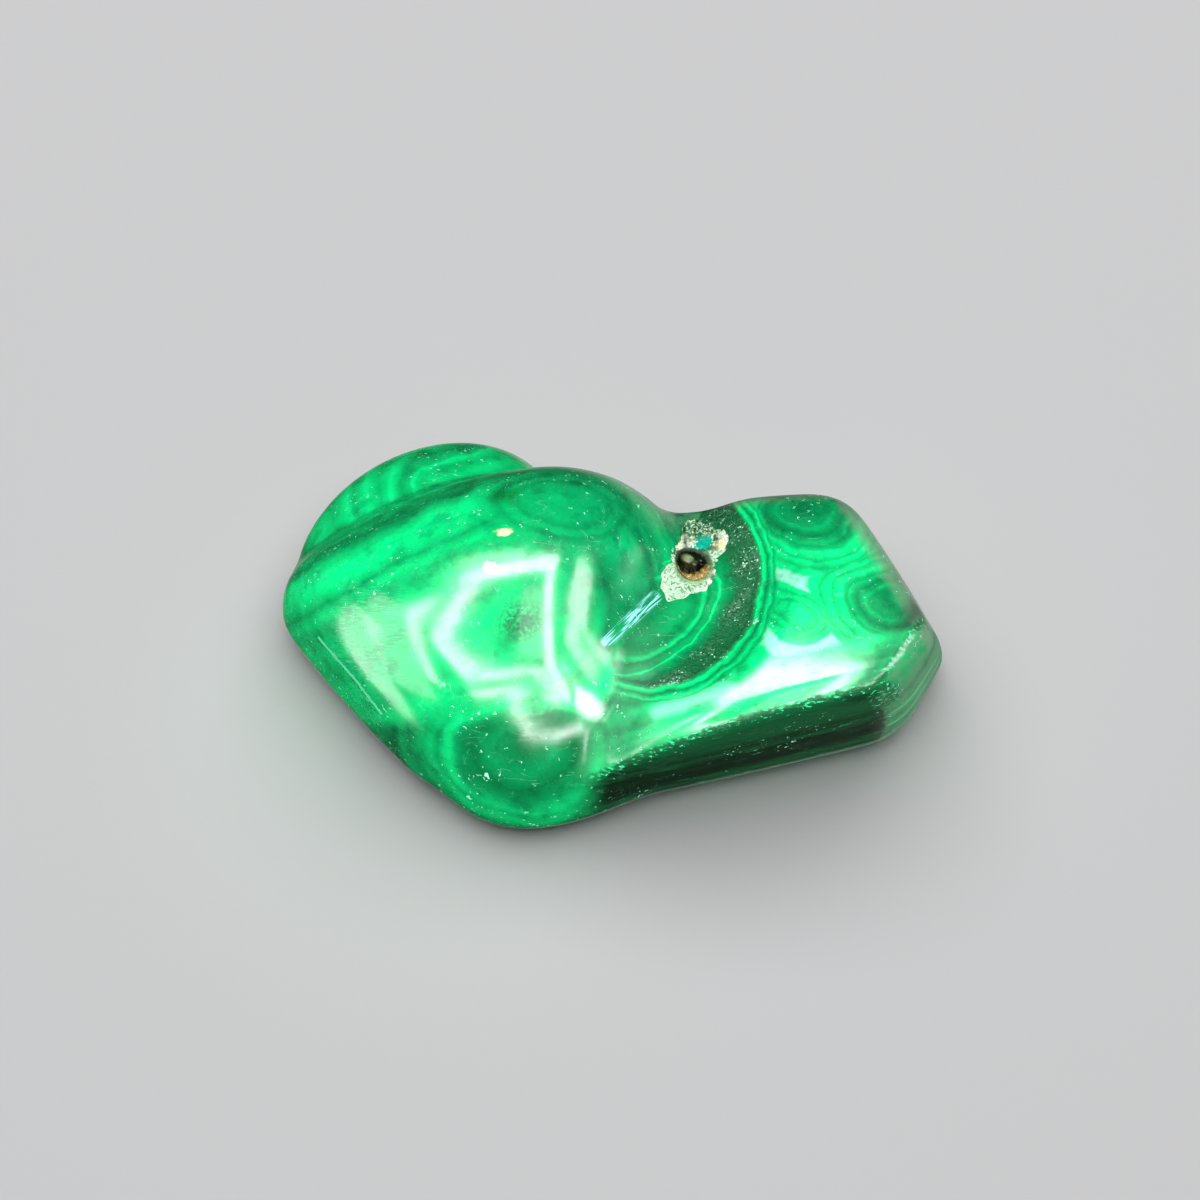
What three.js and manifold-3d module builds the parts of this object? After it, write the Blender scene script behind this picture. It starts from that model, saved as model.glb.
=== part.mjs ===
// Free-form polished malachite stone, about 72 mm long, with a small crusted pit in its hollow.
// Millimetres, +Z up, long axis along X. It rests on a flat worn face in the plane z = 0.
import * as THREE from "three";
import { mergeVertices } from "three/addons/utils/BufferGeometryUtils.js";
import Module from "manifold-3d";

const wasm = await Module();
wasm.setup();

// The middle of the stone's footprint, which is moved to x = 0, y = 0.
const FOOTPRINT_MIDDLE = [-0.1, 1.18];

// Rounded masses: centre and radii in millimetres, yaw about Z and rise of the long axis in degrees.
const DOME = { centre: [-12.52, -1.13, 6.92], radii: [30.42, 17.53, 18.85], yaw: 9.4, pitch: 17.8 };
const BACK_LOBE = { centre: [-20.03, 10.5, 5.41], radii: [15.81, 12.01, 10.84], yaw: 35.5, pitch: 0 };
const FRONT_LOBE = { centre: [-6.02, -5.49, 3.85], radii: [13.48, 16.92, 17.69], yaw: -31.6, pitch: -5.7 };
const BLOCK = { centre: [21.5, -3.72, -27.76], radii: [39.8, 56.91, 50.81], yaw: -11.6, pitch: 0 };

// Faces worn on the dome: a point on each, the way it faces there, the radius of its slight crown,
// and how softly its edge is rounded.
const DOME_FACES = [
  { through: [5.98, -0.31, 15.55], facing: [0.794, -0.221, 0.567], crown: 90, softness: 3.6 },
  { through: [2.6, 11.04, 21.58], facing: [0.62, 0.676, 0.398], crown: 114, softness: 5.7 },
  { through: [-29.94, -5.31, 6.46], facing: [-0.779, -0.628, 0.006], crown: 140, softness: 5.1 },
  { through: [-15.73, 12.94, 22.53], facing: [-0.197, 0.893, 0.405], crown: 119, softness: 3.0 },
];

// Faces of the squarish end: front, right end, cut corner, back and the side inside the dome.
const BLOCK_FACES = [
  { through: [18.16, -14.6, 5.9], facing: [0.246, -0.957, -0.154], crown: 515, softness: 2.5 },
  { through: [36.09, -1.98, 7.1], facing: [0.888, -0.456, -0.055], crown: 102, softness: 2.3 },
  { through: [29.64, 7.01, 11.85], facing: [0.834, 0.45, 0.321], crown: 147, softness: 1.5 },
  { through: [21.0, 13.47, 9.59], facing: [-0.006, 0.963, 0.268], crown: 148, softness: 3.6 },
  { through: [-6, 0, 8], facing: [-0.995, 0, 0.1], crown: 500, softness: 6 },
];

// The hollow between dome and squarish end, and the notch where it runs out over the back edge.
const HOLLOW = { centre: [8.56, -1.83, 25.7], radii: [16.23, 10.44, 8.17], yaw: 70.1, pitch: 1.4 };
const NOTCH = { centre: [8.5, 12, 20.5], radii: [4, 9, 6.5], yaw: 0, pitch: 0 };

// Widths over which neighbouring masses run into each other.
const LOBE_TO_BLOCK = 3.1;
const HOLLOW_TO_NOTCH = 6;
const HOLLOW_RIM = 1.6;
const DOME_CREASE = 1.4;
const BACK_CREASE = 1.3;
const BASE_ROUNDING = 5.0;
const DOME_TO_LOBE = 0.7;
const SEAM = 0.2;

// The skin is found along rays that leave a small ellipsoid inside the stone.
const SEED_CENTRE = [0, 0, 4];
const SEED_RADII = [24, 7, 2];
const RAY_WEIGHTS = [0.4, 0.7, 1];
const RAY_REACH = 50;
const RAY_STEP = 0.5;
const SKIN_DETAIL = 16;

// Pockets of the pit and of the weathered crust round it. The crust fills each pocket but for a gap.
const CRUST_GAP = 0.3;
const POCKET_DETAIL = 3;
const POCKETS = [
  { centre: [8.3, 3.2, 15.9], radii: [2.7, 3.0, 3.4], yaw: 20, pitch: 0 },
  { centre: [6.3, 0.2, 16.8], radii: [2.9, 2.0, 2.0], yaw: 58, pitch: 0 },
  { centre: [8.0, -0.6, 16.8], radii: [2.2, 1.6, 1.5], yaw: 20, pitch: 0 },
  { centre: [9.4, 7.9, 14.2], radii: [2.2, 2.6, 1.9], yaw: -12, pitch: 0 },
  { centre: [10.8, 5.2, 15.7], radii: [1.7, 1.9, 1.7], yaw: 0, pitch: 0 },
  { centre: [10.1, 0.8, 16.8], radii: [1.4, 1.5, 1.4], yaw: 0, pitch: 0 },
];

// The opening of the pit, cut through the crust down to its lining.
const PIT_MOUTH = { centre: [8.5, 3.4, 17.3], radii: [1.75, 2.0, 3.6], yaw: 20, pitch: 0 };

// Colours read as sRGB.
const MALACHITE_GREEN = 0x12843c;
const CRUST_COLOUR = 0x8fae8d;

// Unit axes of a mass whose long axis is turned by yaw about Z and raised by pitch.
function axesOf(yaw, pitch) {
  const turn = THREE.MathUtils.degToRad(yaw);
  const rise = THREE.MathUtils.degToRad(pitch);
  const long = new THREE.Vector3(
    Math.cos(turn) * Math.cos(rise), Math.sin(turn) * Math.cos(rise), Math.sin(rise));
  const across = new THREE.Vector3(-Math.sin(turn), Math.cos(turn), 0);
  return [long, across, new THREE.Vector3().crossVectors(long, across)];
}

// Nearly the distance to an ellipsoid: negative inside, positive outside.
function mass({ centre, radii, yaw, pitch }) {
  const middle = new THREE.Vector3(...centre);
  const axes = axesOf(yaw, pitch);
  const offset = new THREE.Vector3();
  return (point) => {
    offset.subVectors(point, middle);
    const along = axes.map((axis, k) => axis.dot(offset) / radii[k]);
    const scaled = Math.hypot(...along);
    const slope = Math.hypot(...along.map((value, k) => value / radii[k]));
    return slope > 0 ? (scaled * (scaled - 1)) / slope : -Math.min(...radii);
  };
}

// Distance to a worn face, part of a large sphere: negative on the stone's side.
function wornFace({ through, facing, crown }) {
  const normal = new THREE.Vector3(...facing).normalize();
  const middle = new THREE.Vector3(...through).addScaledVector(normal, -crown);
  return (point) => point.distanceTo(middle) - crown;
}

// Two masses joined, with a fillet of the given width along the crease.
function joined(a, b, width) {
  const near = Math.max(width - Math.abs(a - b), 0) / width;
  return Math.min(a, b) - (near * near * width) / 4;
}

// One mass kept only where it is inside another, with its new edge rounded over the given width.
function trimmed(a, b, width) {
  const near = Math.max(width - Math.abs(a - b), 0) / width;
  return Math.max(a, b) + (near * near * width) / 4;
}

const domeMass = mass(DOME);
const domeFaces = DOME_FACES.map((face) => ({ distance: wornFace(face), softness: face.softness }));
const backLobe = mass(BACK_LOBE);
const frontLobe = mass(FRONT_LOBE);
const blockMass = mass(BLOCK);
const blockFaces = BLOCK_FACES.map((face) => ({ distance: wornFace(face), softness: face.softness }));
const hollowMass = mass(HOLLOW);
const notchMass = mass(NOTCH);

// A mass with each of its worn faces taken off.
function worn(value, faces, point) {
  return faces.reduce((left, face) => trimmed(left, face.distance(point), face.softness), value);
}

// The whole stone as one distance, with the base in the plane z = 0.
function stone(point) {
  const dome = worn(domeMass(point), domeFaces, point);
  const block = worn(blockMass(point), blockFaces, point);
  const lobe = frontLobe(point);
  const hollow = joined(hollowMass(point), notchMass(point), HOLLOW_TO_NOTCH);
  const hollowed = (value) => trimmed(value, -hollow, HOLLOW_RIM);
  const rightHalf = joined(hollowed(joined(lobe, block, LOBE_TO_BLOCK)), dome, DOME_CREASE);
  const leftHalf = joined(hollowed(lobe), dome, DOME_TO_LOBE);
  const body = joined(joined(rightHalf, leftHalf, SEAM), backLobe(point), BACK_CREASE);
  return trimmed(body, -point.z, BASE_ROUNDING);
}

// Where the ray of one direction leaves the stone.
function skinPoint(direction) {
  const start = new THREE.Vector3(...SEED_CENTRE).add(
    new THREE.Vector3(...SEED_RADII).multiply(direction));
  const ray = new THREE.Vector3(...RAY_WEIGHTS).multiply(direction).normalize();
  const at = (reach) => start.clone().addScaledVector(ray, reach);
  let inside = 0;
  while (inside < RAY_REACH && stone(at(inside + RAY_STEP)) < 0) inside += RAY_STEP;
  let outside = inside + RAY_STEP;
  for (let halving = 0; halving < 24; halving += 1) {
    const middle = (inside + outside) / 2;
    if (stone(at(middle)) < 0) inside = middle;
    else outside = middle;
  }
  const point = at(inside);
  if (point.z < 1e-3) point.z = 0;
  return point;
}

// A sphere of triangles with shared corners, whose corners are unit directions.
function unitSphere(detail) {
  const sphere = new THREE.IcosahedronGeometry(1, detail);
  sphere.deleteAttribute("normal");
  sphere.deleteAttribute("uv");
  return mergeVertices(sphere, 1e-5);
}

function solidOf(geometry) {
  return new wasm.Manifold(new wasm.Mesh({
    numProp: 3,
    vertProperties: new Float32Array(geometry.attributes.position.array),
    triVerts: new Uint32Array(geometry.index.array),
  }));
}

// A pocket as a solid, smaller all round by the inset.
function pocketSolid({ centre, radii, yaw, pitch }, inset) {
  const ball = unitSphere(POCKET_DETAIL);
  const [long, across, upright] = axesOf(yaw, pitch);
  const place = new THREE.Matrix4().makeBasis(long, across, upright).setPosition(...centre);
  ball.scale(...radii.map((radius) => radius - inset)).applyMatrix4(place);
  return solidOf(ball);
}

function geometryOf(solid) {
  const { vertProperties, triVerts } = solid.getMesh();
  const geometry = new THREE.BufferGeometry();
  geometry.setAttribute("position", new THREE.BufferAttribute(new Float32Array(vertProperties), 3));
  geometry.setIndex(new THREE.BufferAttribute(new Uint32Array(triVerts), 1));
  geometry.translate(-FOOTPRINT_MIDDLE[0], -FOOTPRINT_MIDDLE[1], 0);
  return geometry;
}

// Smooth skin, then the pockets taken out of it.
const skin = unitSphere(SKIN_DETAIL);
const corners = skin.attributes.position;
const direction = new THREE.Vector3();
for (let k = 0; k < corners.count; k += 1) {
  direction.fromBufferAttribute(corners, k).normalize();
  corners.setXYZ(k, ...skinPoint(direction).toArray());
}
const stoneSolid = POCKETS.reduce(
  (solid, pocket) => solid.subtract(pocketSolid(pocket, 0)), solidOf(skin));

// The crust: every pocket filled but for the gap, with the mouth of the pit left open.
const crustSolid = POCKETS
  .map((pocket) => pocketSolid(pocket, CRUST_GAP))
  .reduce((crust, filling) => crust.add(filling))
  .subtract(pocketSolid(PIT_MOUTH, 0));

const stoneMesh = new THREE.Mesh(
  geometryOf(stoneSolid),
  new THREE.MeshStandardMaterial({ color: MALACHITE_GREEN, roughness: 0.18, metalness: 0 }));
stoneMesh.name = "malachite_stone";

const crustMesh = new THREE.Mesh(
  geometryOf(crustSolid),
  new THREE.MeshStandardMaterial({ color: CRUST_COLOUR, roughness: 0.75, metalness: 0 }));
crustMesh.name = "pit_crust";

const malachite = new THREE.Group();
malachite.add(stoneMesh, crustMesh);
export default malachite;
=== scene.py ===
"""A free-form piece of polished malachite with a small crusted pit, on a pale floor.

The stone's form is one distance function of rounded masses and worn faces, in millimetres, the same
one its solid has. Its bands are a solid pattern through the stone, made from distances to the
centres that they grew round.
"""
import math

import bpy
import numpy as np
from mathutils import Matrix


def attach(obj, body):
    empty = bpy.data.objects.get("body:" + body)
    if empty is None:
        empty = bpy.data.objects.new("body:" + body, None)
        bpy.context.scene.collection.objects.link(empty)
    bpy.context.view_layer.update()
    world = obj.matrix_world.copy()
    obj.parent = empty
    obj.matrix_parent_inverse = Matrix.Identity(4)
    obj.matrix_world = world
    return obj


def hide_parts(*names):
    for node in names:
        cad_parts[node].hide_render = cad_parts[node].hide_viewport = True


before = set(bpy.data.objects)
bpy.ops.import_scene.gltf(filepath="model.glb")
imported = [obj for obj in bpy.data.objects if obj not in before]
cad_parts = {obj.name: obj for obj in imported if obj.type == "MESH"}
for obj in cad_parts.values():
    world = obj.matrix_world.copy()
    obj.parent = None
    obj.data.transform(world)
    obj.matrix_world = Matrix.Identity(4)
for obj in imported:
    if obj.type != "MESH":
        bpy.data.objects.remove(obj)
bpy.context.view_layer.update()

MM = 0.001

# The middle of the stone's footprint, which lies at x = 0, y = 0
FOOTPRINT_MIDDLE = np.array([-0.1, 1.18, 0.0])

# Rounded masses: centre, radii, yaw and pitch of the long axis in degrees
DOME = ((-12.52, -1.13, 6.92), (30.42, 17.53, 18.85), 9.4, 17.8)
BACK_LOBE = ((-20.03, 10.5, 5.41), (15.81, 12.01, 10.84), 35.5, 0)
FRONT_LOBE = ((-6.02, -5.49, 3.85), (13.48, 16.92, 17.69), -31.6, -5.7)
BLOCK_TOP = ((21.5, -3.72, -27.76), (39.8, 56.91, 50.81), -11.6, 0)
HOLLOW = ((8.56, -1.83, 25.7), (16.23, 10.44, 8.17), 70.1, 1.4)
NOTCH = ((8.5, 12, 20.5), (4, 9, 6.5), 0, 0)

# Worn faces: a point, the way the face looks there, its crown's radius, the softness of its edge.
# The squarish end's are its front, right end, cut corner, back and the side inside the dome.
DOME_FACES = (
    ((5.98, -0.31, 15.55), (0.794, -0.221, 0.567), 90.0, 3.6),
    ((2.6, 11.04, 21.58), (0.62, 0.676, 0.398), 114.0, 5.7),
    ((-29.94, -5.31, 6.46), (-0.779, -0.628, 0.006), 140.0, 5.1),
    ((-15.73, 12.94, 22.53), (-0.197, 0.893, 0.405), 119.0, 3.0),
)
BLOCK_FACES = (
    ((18.16, -14.6, 5.9), (0.246, -0.957, -0.154), 515.0, 2.5),
    ((36.09, -1.98, 7.1), (0.888, -0.456, -0.055), 102.0, 2.3),
    ((29.64, 7.01, 11.85), (0.834, 0.45, 0.321), 147.0, 1.5),
    ((21.0, 13.47, 9.59), (-0.006, 0.963, 0.268), 148.0, 3.6),
    ((-6, 0, 8), (-0.995, 0, 0.1), 500, 6),
)

# Widths over which neighbouring masses run into each other
LOBE_TO_BLOCK = 3.1
HOLLOW_TO_NOTCH = 6
HOLLOW_RIM = 1.6
DOME_CREASE = 1.4
BACK_CREASE = 1.3
BASE_ROUNDING = 5.0
DOME_TO_LOBE = 0.7
SEAM = 0.2

# The skin is found along rays that leave a small ellipsoid inside the stone, in steps of a share
# of the distance left
SEED_CENTRE = np.array([0.0, 0.0, 4.0])
SEED_RADII = np.array([24.0, 7.0, 2.0])
RAY_WEIGHTS = np.array([0.4, 0.7, 1.0])
RAY_STEP = 0.9
RAY_STEPS = 70
SKIN_CELLS = 126

# The pit: middle of its mouth, the way it opens, half its width and height, its depth, and how far
# the stone's skin lies under the crust and under the pit's lining; how far off it reaches
PIT_MIDDLE = np.array([8.5, 3.3, 16.3])
PIT_AXIS = np.array([0.15, -0.15, 0.98])
PIT_HALF = (1.75, 2.4)
PIT_DEPTH = 2.6
UNDER_CRUST = 0.7
UNDER_PIT = 0.4
PIT_REACH = 6
BELOW_SKIN = 4

# Outline of the crust round the pit: direction in degrees, distance from the pit's middle
CRUST_OUTLINE = (
    (0, 2.25), (12, 2.5), (22, 3.8), (45, 4.9), (70, 6.0), (88, 6.5), (97, 5.2), (106, 3.6),
    (116, 2.9), (125, 2.6), (155, 2.2),
    (187, 2.5), (205, 3.6), (225, 5.3), (240, 5.7), (252, 4.9), (270, 4.0), (292, 3.5),
    (305, 3.2), (325, 2.5), (345, 2.3),
)
CRUST_SPOKES = 300
CRUST_RINGS = 150
UNDERSIDE_RINGS = 11
UNDERSIDE_DEPTH = 0.35
UNDER_LINING = 0.1
UNDER_POLE = 0.5

# Thickness of the chalky film, its edge and the pit's lip, and heights of its grain
FILM_THICKNESS = 0.1
EDGE_THICKNESS = 0.02
LIP_HEIGHT = 0.12
FINE_GRAIN = 0.035
COARSE_GRAIN = 0.06

# Crumbs and crystals of the crust: how many are tried, the middle and half axes of the ring beside
# the mouth, and the lining's knobs: place, radius and level
CRUMBS = 120
LINING_GRAINS = 70
RING_MIDDLE = (1.85, -1.95)
RING_HALF = (0.55, 0.75)
KNOBS = ((-0.35, 1.1, 0.85, -0.95), (0.4, 0.7, 0.55, -1.25))
NOTHING_THERE = -9.0

# Colours of the crust and of the pit's lining as they look, 0 to 255. The glint is a painted highlight;
# the lip's shade, the ring's hole and the near-black lining hold painted shade
CHALK = (166, 206, 170)
PALE_CHALK = (216, 238, 208)
GREY_CHALK = (104, 150, 116)
CHALK_PORE = (30, 84, 52)
CRUMB = (236, 240, 208)
CRUMB_GAP = (14, 84, 52)
TEAL = (0, 178, 148)
TEAL_GAP = (4, 92, 66)
CREAM_CRYSTAL = (238, 218, 150)
PALE_RIM = (214, 244, 214)
FAR_GREEN = (20, 116, 70)
FAR_PORE = (8, 44, 26)
FAR_CRUMB = (206, 240, 200)
WHITE_CRYSTAL = (240, 248, 240)
RING_HOLE_PAINTED_SHADE = (34, 60, 48)
LIP = (58, 92, 52)
PAINTED_LIP_SHADE = (38, 60, 34)
LOWER_LIP = (112, 148, 92)
LINING_WITH_PAINTED_SHADE = (12, 22, 8)
GOLD = (220, 186, 96)
KNOB = (150, 172, 112)
PAINTED_GLINT = (250, 248, 226)

# Share of its shown brightness that each colour has as a body colour, grain in millimetres, gloss
BODY = 0.42
CRUST_BODY = 0.5
CRUST_GRAIN = 0.05
MALACHITE_IOR = 1.62

# The photograph's camera: how high it looks down, its distance and the point it looks at
CAMERA_RISE = 60
CAMERA_DISTANCE = 330
CAMERA_AIM = np.array([-1.3, 0.0, 14.4])
FRAME_SPAN = 127.2
SENSOR = 36.0
CLIP_METRES = (0.01, 20)

# Studio lights at one distance. Bars: left, right, low and high side in millimetres off the
# camera's line of sight, radiance
LIGHT_DISTANCE = 300
FRAME_BARS = (
    ("bar_left", -190, -152, -30, 215, 18),
    ("bar_right", 117, 184, -195, 180, 16),
    ("bar_bottom", -72, 122, -206, -166, 16),
    ("glow", -25, 115, -125, 125, 3.4),
)

# Strips: start and end in degrees right of and above that line, width in degrees, radiance
SIDE_STRIPS = (
    ("strip_top", (-31, 37), (31, 32), 8, 20),
    ("strip_high", (-34, 48), (-10, 46), 10, 6),
    ("corner_left", (-29, -6), (-13, -32), 7, 16),
    ("strip_right", (65, 25), (55, 3), 20, 11),
    ("strip_right_low", (55, 3), (46, -13), 11, 11),
    ("corner_right", (34, -27), (50, -33), 11, 24),
    ("strip_low", (-16, -40), (38, -43), 4, 18),
    ("strip_left", (-38, 27), (-42, -40), 7, 11),
    ("panel_left", (-50, 28), (-60, -54), 26, 3.3),
    ("panel_far_left", (-74, 2), (-88, -70), 20, 4.0),
)

# Fill over the stone, one over the floor, the floor in metres, and the room behind them
FILLS = (("fill", 1.1), ("floor_fill", 1.6))
FILL_PLACE = np.array([0.0, 250.0, 900.0])
FILL_SIZE = 1400
FLOOR_HALF = 9.0
FLOOR_COLOUR = (0.75, 0.75, 0.76)
ROOM_DARK = (0.02, 0.02, 0.02)
ROOM_GREY = (0.5, 0.51, 0.49)


# Form

def axes_of(yaw, pitch):
    """Unit axes of a mass whose long axis is turned by yaw about Z and raised by pitch."""
    turn, rise = math.radians(yaw), math.radians(pitch)
    long = np.array([
        math.cos(turn) * math.cos(rise), math.sin(turn) * math.cos(rise), math.sin(rise)])
    across = np.array([-math.sin(turn), math.cos(turn), 0.0])
    return np.array([long, across, np.cross(long, across)])


def mass(points, centre, radii, yaw, pitch):
    """Nearly the distance to an ellipsoid: |q| (|q| - 1) / |q / r|, where q is the offset / r."""
    along = (points - np.array(centre)) @ axes_of(yaw, pitch).T / np.array(radii)
    scaled = np.linalg.norm(along, axis=-1)
    slope = np.linalg.norm(along / np.array(radii), axis=-1)
    return scaled * (scaled - 1) / np.maximum(slope, 1e-9)


def face_centre(through, facing, crown):
    """Middle of the large sphere that a worn face is part of."""
    normal = np.array(facing, float)
    return np.array(through, float) - normal / np.linalg.norm(normal) * crown


def worn_face(points, through, facing, crown):
    """Distance to a worn face, part of a large sphere: negative on the stone's side."""
    return np.linalg.norm(points - face_centre(through, facing, crown), axis=-1) - crown


def joined(a, b, width):
    """Two masses joined, with a fillet of the given width along the crease."""
    near = np.maximum(width - np.abs(a - b), 0) / width
    return np.minimum(a, b) - near * near * width / 4


def trimmed(a, b, width):
    """One mass kept only inside another, its new edge rounded over the given width."""
    near = np.maximum(width - np.abs(a - b), 0) / width
    return np.maximum(a, b) + near * near * width / 4


def stone_distance(points):
    """The whole stone as one distance, with its base in the plane z = 0."""
    block = mass(points, *BLOCK_TOP)
    for *face, softness in BLOCK_FACES:
        block = trimmed(block, worn_face(points, *face), softness)
    dome = mass(points, *DOME)
    for *face, softness in DOME_FACES:
        dome = trimmed(dome, worn_face(points, *face), softness)
    lobe = mass(points, *FRONT_LOBE)
    hollow = joined(mass(points, *HOLLOW), mass(points, *NOTCH), HOLLOW_TO_NOTCH)
    right_half = trimmed(joined(lobe, block, LOBE_TO_BLOCK), -hollow, HOLLOW_RIM)
    left_half = joined(trimmed(lobe, -hollow, HOLLOW_RIM), dome, DOME_TO_LOBE)
    body = joined(joined(right_half, dome, DOME_CREASE), left_half, SEAM)
    body = joined(body, mass(points, *BACK_LOBE), BACK_CREASE)
    return trimmed(body, -points[..., 2], BASE_ROUNDING)


def reach_skin(start, ray):
    """Points where rays that start inside leave the stone, found by stepping the distance left."""
    reach = np.zeros(len(start))
    for _ in range(RAY_STEPS):
        reach -= RAY_STEP * stone_distance(start + ray * reach[:, None])
    return start + ray * reach[:, None]


# Large odd numbers that turn the place of a grid corner, and a seed, into a random value
GRID_PRIMES = np.array([73856093, 19349663, 83492791])
SEED_STEP = 2654435
SCRAMBLE = 1103515245
SCRAMBLE_MORE = 12345


def value_noise(points, size, seed):
    """Smooth noise from -1 to 1 that changes over the given size: random values on the corners of
    a cubic grid, blended between them with 3 t^2 - 2 t^3."""
    cell = np.floor(points / size).astype(np.int64)
    t = points / size - cell
    t = t * t * (3 - 2 * t)
    total = np.zeros(len(points))
    for corner in np.ndindex(2, 2, 2):
        grid = cell + np.array(corner)
        keys = grid * GRID_PRIMES
        scrambled = keys[:, 0] ^ keys[:, 1] ^ keys[:, 2] ^ seed * SEED_STEP
        value = ((scrambled * SCRAMBLE + SCRAMBLE_MORE) >> 8 & 0xFFFF) / (0xFFFF / 2) - 1
        total += value * np.prod(np.where(corner, t, 1 - t), axis=-1)
    return total


# Pit: a runs across it and b up the stone from its middle, c runs out of its mouth

def pit_axes():
    """Across, up and out: the pit's own directions."""
    out = PIT_AXIS / np.linalg.norm(PIT_AXIS)
    across = np.array([1.0, 0.0, 0.0])
    across -= out * (across @ out)
    across /= np.linalg.norm(across)
    return across, np.cross(out, across), out


def outline_share(a, b):
    """Distance from the pit's middle as a share of the crust's outline in that direction, which runs
    straight from point to point with 9 and 23 small waves round it."""
    turn = np.degrees(np.arctan2(b, a)) % 360
    degrees, reach = np.array(CRUST_OUTLINE, float).T
    edge = np.interp(turn, degrees, reach, period=360)
    turn = np.radians(turn)
    edge += 0.16 * np.sin(9 * turn + 1) + 0.1 * np.sin(23 * turn)
    return np.hypot(a, b) / edge


def mouth_share(a, b):
    """Distance from the pit's middle as a share of its oval mouth: |(a / half width, b / half height)|."""
    return np.hypot(a / PIT_HALF[0], b / PIT_HALF[1])


def smooth(low, high, value):
    """0 below low, 1 above high, 3 t^2 - 2 t^3 between."""
    t = np.clip((value - low) / (high - low), 0, 1)
    return t * t * (3 - 2 * t)


def bell(value, middle, width):
    """1 at the middle, falling off as exp(-(distance / width)^2)."""
    return np.exp(-((value - middle) / width) ** 2)


def take_pit_out(points):
    """Sinks the stone's skin under the crust, and deeper under the pit's mouth."""
    across, up, out = pit_axes()
    offset = points - PIT_MIDDLE
    a, b, c = offset @ across, offset @ up, offset @ out
    near = np.abs(c) < PIT_REACH
    shallow = UNDER_CRUST * (1 - smooth(0.78, 0.92, outline_share(a, b)))
    deep = (PIT_DEPTH + UNDER_PIT) * (1 - smooth(0.9, 1.25, mouth_share(a, b)))
    return points - (np.maximum(shallow, deep) * near)[:, None] * out


# Meshes

def add_mesh(name, points, faces):
    """A smooth mesh from points in millimetres and the corners of each face."""
    mesh = bpy.data.meshes.new(name)
    mesh.from_pydata(((points - FOOTPRINT_MIDDLE) * MM).tolist(), [], faces)
    mesh.polygons.foreach_set("use_smooth", np.ones(len(mesh.polygons), bool))
    made = bpy.data.objects.new(name, mesh)
    bpy.context.scene.collection.objects.link(made)
    return made


def sphere_grid(cells):
    """Directions and quads of a sphere made from the six sides of a cube: on each side the two
    parameters run from -45 to 45 degrees, and the direction is (tan a, tan b, 1) made unit."""
    step = np.tan(np.linspace(-math.pi / 4, math.pi / 4, cells + 1))
    b, a = np.meshgrid(step, step)
    one = np.ones_like(a)
    sides = []
    for axis in range(3):
        for sign in (1, -1):
            corner = np.stack([one * sign, a * sign, b], -1)
            sides.append(np.roll(corner, axis, axis=-1).reshape(-1, 3))
    points = np.concatenate(sides)
    points /= np.linalg.norm(points, axis=1, keepdims=True)
    k = np.arange((cells + 1) ** 2).reshape(cells + 1, cells + 1)
    side = np.stack([k[:-1, :-1], k[1:, :-1], k[1:, 1:], k[:-1, 1:]], -1).reshape(-1, 4)
    quads = np.concatenate([side + n * k.size for n in range(6)])
    _, first, shared = np.unique(
        np.round(points, 6), axis=0, return_index=True, return_inverse=True)
    return points[first], shared.reshape(-1)[quads]


def build_stone():
    """The stone's skin: r(direction) along rays from a small ellipsoid inside it."""
    directions, quads = sphere_grid(SKIN_CELLS)
    start = SEED_CENTRE + directions * SEED_RADII
    ray = directions * RAY_WEIGHTS
    ray /= np.linalg.norm(ray, axis=1, keepdims=True)
    points = reach_skin(start, ray)
    points = take_pit_out(points)
    points[:, 2] = np.where(points[:, 2] < 1e-3, 0.0, points[:, 2])
    return add_mesh("polished_stone", points, quads.tolist())


def beads_height(a, b, beads):
    """Height of round beads on a floor at 0: the highest of level + sqrt(r^2 - d^2)."""
    height = np.full(a.shape, NOTHING_THERE)
    for x, y, radius, level in beads:
        square = radius ** 2 - (a - x) ** 2 - (b - y) ** 2
        bead = level + np.sqrt(np.maximum(square, 0))
        height = np.maximum(height, np.where(square > 0, bead, NOTHING_THERE))
    return height


def crust_beads():
    """Crumbs, the ring of crystals, and the lining's grains and knobs: place, radius and level."""
    rng = np.random.default_rng(7)
    beads = []
    for _ in range(CRUMBS):
        a, b = rng.uniform(-0.6, 4.2), rng.uniform(1.6, 5.2)
        if outline_share(a, b) < 0.93 and mouth_share(a, b) > 1.12:
            radius = rng.uniform(0.14, 0.42)
            beads.append((a, b, radius, rng.uniform(-0.5, 0.9) * radius - 0.05))
    for degrees in range(0, 360, 40):
        turn = math.radians(degrees)
        a = RING_MIDDLE[0] + RING_HALF[0] * math.cos(turn)
        b = RING_MIDDLE[1] + RING_HALF[1] * math.sin(turn)
        beads.append((a, b, rng.uniform(0.22, 0.32), 0.05))
    for _ in range(LINING_GRAINS):
        a, b = rng.uniform(-1.7, 1.7), rng.uniform(-1.4, 1.4)
        beads.append((a, b, rng.uniform(0.1, 0.3), -PIT_DEPTH * (1 - mouth_share(a, b) ** 3) - 0.1))
    return beads + list(KNOBS)


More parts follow.
